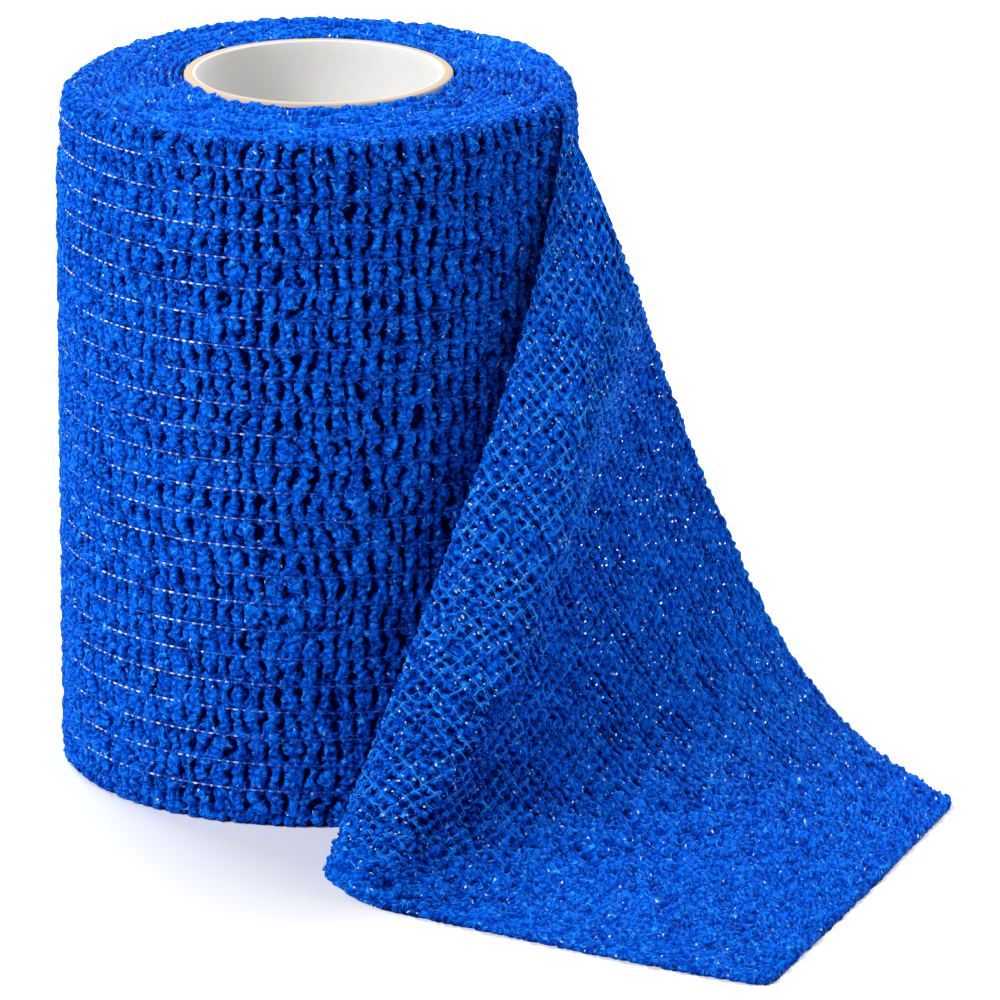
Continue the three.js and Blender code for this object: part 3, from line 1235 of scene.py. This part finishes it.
    def corners(self, run: Array, across: Array) -> tuple[Array, Array]:
        """Rounds both corners of the cut end.

        Args:
            run: Place along the web.
            across: Place across the web.

        Returns:
            Moves down the web and back along it, in millimetres.
        """
        radius = self.corner_radius
        from_end = np.maximum(radius - (run[:, -1:] - run), 0.0)
        from_edge = np.maximum(radius - np.minimum(across, self.width - across), 0.0)
        beyond = np.maximum(np.hypot(from_end, from_edge) / radius, 1.0)
        side = np.sign(across - self.width / 2)
        return from_edge * (1 - 1 / beyond) * side, from_end * (1 - 1 / beyond)

    def holes(self, texture: dict[str, Array]) -> Array:
        """Chooses the quads that are pinholes through the web.

        Args:
            texture: Result of relief.

        Returns:
            True where a quad is left out, shape (rows - 1, columns - 1).
        """
        shape = tuple(size - 1 for size in texture["painted_shade"].shape)
        draw = np.random.default_rng(self.seed + 90).random(shape)
        lying, groove, folded, across = (
            texture[key][:-1, :-1] for key in ("lying", "groove", "folded", "across")
        )
        row, column = np.indices(shape)
        apart = (row % 3 == 0) & ((column + 2 * (row // 3)) % 3 == 0)
        near_top = 0.6 + 0.8 * np.exp(-(self.width - across) / 25.0)
        share = (0.10 + 0.12 * groove) * near_top * (1 - lying) * (1 - folded) ** 2
        skip = apart & (draw < share + 0.012 * lying)
        skip[:, :14] = False
        edge = self.rim_steps + 2
        skip[:edge] = skip[-edge:] = False
        skip[:, -edge:] = False
        return skip

    def shrink_holes(self, points: Array, skip: Array) -> None:
        """Draws the corners of each left-out quad together, in place, so that the hole is small.

        Args:
            points: Grid of points, shape (rows, columns, 3).
            skip: True where a quad is left out, shape (rows - 1, columns - 1).
        """
        row, column = np.nonzero(skip)
        corners = [(row, column), (row, column + 1), (row + 1, column), (row + 1, column + 1)]
        middle = sum(points[corner] for corner in corners) / 4
        for corner in corners:
            points[corner] += self.hole_closing * (middle - points[corner])

    def rolled_under(self, points: Array, facing: Array, outward: Array) -> list[Array]:
        """Turns an edge of the sheet over on itself.

        Args:
            points: Points of the edge, shape (count, 3).
            facing: Normals at the edge.
            outward: Directions out of the sheet at the edge.

        Returns:
            One line of points for each step round the turn.
        """
        lines = []
        for step in range(1, self.rim_steps + 1):
            angle = math.pi * step / self.rim_steps
            lines.append(points + self.rim_radius * (
                outward * math.sin(angle) - facing * (1 - math.cos(angle))
            ))
        return lines

    def rimmed(self, points: Array, facing: Array, down: Array, along: Array) -> Array:
        """Adds the turned rim at both edges and at the cut end.

        Args:
            points: Grid of points, shape (rows, columns, 3).
            facing: Normals at the points.
            down: Directions across the web at the points.
            along: Directions along the web at the points.

        Returns:
            The larger grid, nowhere below the table.
        """
        top = self.rolled_under(points[0], facing[0], -down[0])
        bottom = self.rolled_under(points[-1], facing[-1], down[-1])
        points = np.concatenate([np.array(top[::-1]), points, np.array(bottom)])
        wide = ((self.rim_steps, self.rim_steps), (0, 0), (0, 0))
        facing, along = np.pad(facing, wide, "edge"), np.pad(along, wide, "edge")
        end = self.rolled_under(points[:, -1], facing[:, -1], along[:, -1])
        points = np.concatenate([points, np.stack(end, 1)], 1)
        points[..., 2] = np.maximum(points[..., 2], 0.05)
        return points

    def build(self) -> None:
        """Builds the sheet with its crinkle, pinholes and turned rim."""
        middle, run, across, from_crest = self.flat_grid()
        along, down = np.gradient(middle, axis=1), np.gradient(middle, axis=0)
        facing, along, down = (
            way / np.linalg.norm(way, axis=2, keepdims=True) for way in (np.cross(down, along), along, down)
        )
        texture = self.relief(run, across, from_crest, middle[..., 2])
        attached = smoothstep(2.0, 22.0, run)
        edge = np.exp(-np.minimum(across, self.width - across) / 1.1)
        scallop = Crumple(self.seed + 40).at(run / 1.25, np.sign(across - self.width / 2) + 7.0)
        lift = 0.10 + texture["out"] * (0.25 + 0.75 * attached) + 0.12 * edge * scallop
        inward, backward = self.corners(run, across)
        points = middle + facing * lift[..., None]
        points += along * (texture["slide"] * attached - backward)[..., None]
        shift = texture["slide_up"] * attached * (1 - 0.7 * edge)
        shift += 0.10 * edge * scallop * np.sign(self.width / 2 - across)
        points += down * (shift + inward)[..., None]
        points[..., 2] = np.maximum(points[..., 2], 0.12)
        points = self.rimmed(points, facing, down, along)
        rim = ((self.rim_steps, self.rim_steps), (0, self.rim_steps))
        texture = {key: np.pad(values, rim, "edge") for key, values in texture.items()}
        steps = np.arange(1, self.rim_steps + 1) * self.rim_radius * math.pi / self.rim_steps
        run, across = np.pad(run, rim, "edge"), np.pad(across, rim, "edge")
        run[:, -self.rim_steps:] += steps
        across[:self.rim_steps] += steps[::-1, None]
        across[-self.rim_steps:] -= steps[:, None]
        uv = np.stack([run, across], -1) / UV_UNIT
        skip = self.holes(texture)
        self.shrink_holes(points, skip)
        place = to_frame(points[..., 0], points[..., 1], points[..., 2])
        values = {key: texture[key][::-1] for key in ("painted_shade", "painted_glint", "net")}
        piece = grid_object("loose_web", place[::-1], uv[::-1], values, skip[::-1])
        finish_piece(piece, self.material, ["loose_end"])


@dataclass
class PaperCore:
    """Paperboard tube with slightly crushed lips."""

    material: bpy.types.Material
    bore: float = 17.3
    outside: float = 18.95
    lip: float = 0.25
    length: float = WEB_WIDTH
    unrolled_radius: float = 18.0
    steps_round: int = 160

    def build(self) -> None:
        """Turns the tube's outline about the axis."""
        lip, top = self.lip, self.length - 0.05
        outline: list[tuple[float, float, float]] = []
        for height, sign in ((0.05, 1), (top, -1)):
            wall = [(self.bore, 6 * lip, 0), (self.bore, lip, 0), (self.bore + 0.3 * lip, 0.3 * lip, 0.0),
                    (self.bore + lip, 0, 0.1), (self.bore + 2 * lip, 0, 1), (self.outside - lip, 0, 1),
                    (self.outside, lip, 0.6), (self.outside, 6 * lip, 0)]
            section = [(r, height + sign * up, cut) for r, up, cut in wall]
            outline += section if sign == 1 else section[::-1]
        outline.append(outline[0])
        radius, level, cut = (np.array(column)[:, None] for column in zip(*outline))
        angle = np.linspace(0, 2 * math.pi, self.steps_round + 1)[None, :]
        points = to_frame(radius * np.cos(angle), radius * np.sin(angle), level + 0 * angle)
        uv = np.stack([angle * self.unrolled_radius + 0 * radius, level + 0 * angle], -1) / UV_UNIT
        piece = grid_object("paper_core", points, uv, {"cut": cut + 0 * angle})
        finish_piece(piece, self.material, ["core"])


@dataclass
class Studio:
    """Pale floor, soft lights and the camera."""

    aim: tuple[float, float] = (25.49, 37.01)
    distance: float = 1500.0
    tilt_degrees: float = 16.73
    focal_pixels: float = 10545.7
    frame_pixels: float = 1000.0
    sensor: float = 36.0
    softbox: float = 0.5
    light_distance: float = 1.2
    light_aim: float = 0.05
    surround: float = 0.15

    def camera(self) -> None:
        """Places the camera at the photograph's angle, without shift."""
        data = bpy.data.cameras.new("camera")
        data.sensor_width = self.sensor
        data.lens = self.sensor * self.focal_pixels / self.frame_pixels
        data.clip_end = 50.0
        eye = bpy.data.objects.new("camera", data)
        tilt = math.radians(self.tilt_degrees)
        side, level = self.aim
        eye.location = Vector((side + AXIS.x, AXIS.y - self.distance * math.cos(tilt),
                               level + self.distance * math.sin(tilt))) * MM
        eye.rotation_euler = (math.pi / 2 - tilt, 0.0, 0.0)
        bpy.context.scene.collection.objects.link(eye)
        bpy.context.scene.camera = eye

    def light(self, name: str, bearing: float, rise: float, watts: float) -> None:
        """Adds one square softbox that faces the roll.

        Args:
            name: Name of the light.
            bearing: Direction of the softbox seen from above, counter-clockwise from +X in degrees.
            rise: Its height above the table, in degrees.
            watts: Power.
        """
        data = bpy.data.lights.new(name, "AREA")
        data.shape = "SQUARE"
        data.size = self.softbox
        data.energy = watts
        lamp = bpy.data.objects.new(name, data)
        side, up = math.radians(bearing), math.radians(rise)
        away = Vector((math.cos(side) * math.cos(up), math.sin(side) * math.cos(up), math.sin(up)))
        lamp.location = away * self.light_distance + Vector((0, 0, self.light_aim))
        lamp.rotation_euler = away.to_track_quat("Z", "Y").to_euler()
        bpy.context.scene.collection.objects.link(lamp)

    def build(self) -> None:
        """Builds the floor, the lights, the surrounding light and the camera."""
        mesh = bpy.data.meshes.new("floor")
        reach = 6.0
        mesh.from_pydata([(-reach, -reach, 0), (reach, -reach, 0), (reach, reach, 0), (-reach, reach, 0)],
                         [], [(0, 1, 2, 3)])
        floor = bpy.data.objects.new("floor", mesh)
        bpy.context.scene.collection.objects.link(floor)
        mesh.materials.append(StudioFloor().build())
        self.light("key_softbox", -150.0, 42.0, 13.0)
        self.light("rear_left_softbox", 120.0, 38.0, 7.5)
        self.light("rear_right_softbox", 60.0, 46.0, 11.5)
        self.light("low_softbox", -8.0, 12.0, 3.2)
        world = bpy.data.worlds.new("soft_white")
        world.use_nodes = True
        backdrop = world.node_tree.nodes["Background"]
        backdrop.inputs["Color"].default_value = srgb("#FFFFFF")
        backdrop.inputs["Strength"].default_value = self.surround
        bpy.context.scene.world = world
        bpy.context.scene.view_settings.view_transform = "Standard"
        self.camera()


def main() -> None:
    """Builds the roll, its core, the loose end and the studio, in that order."""
    logging.basicConfig(level=logging.INFO, format="%(name)s %(message)s")
    web = CohesiveWeb().build()
    thread = ElasticThread().build()
    PaperCore(CoreBoard().build()).build()
    WoundRoll(web, thread).build()
    LooseEnd(web).build()
    Studio().build()


if __name__ == "__main__":
    main()
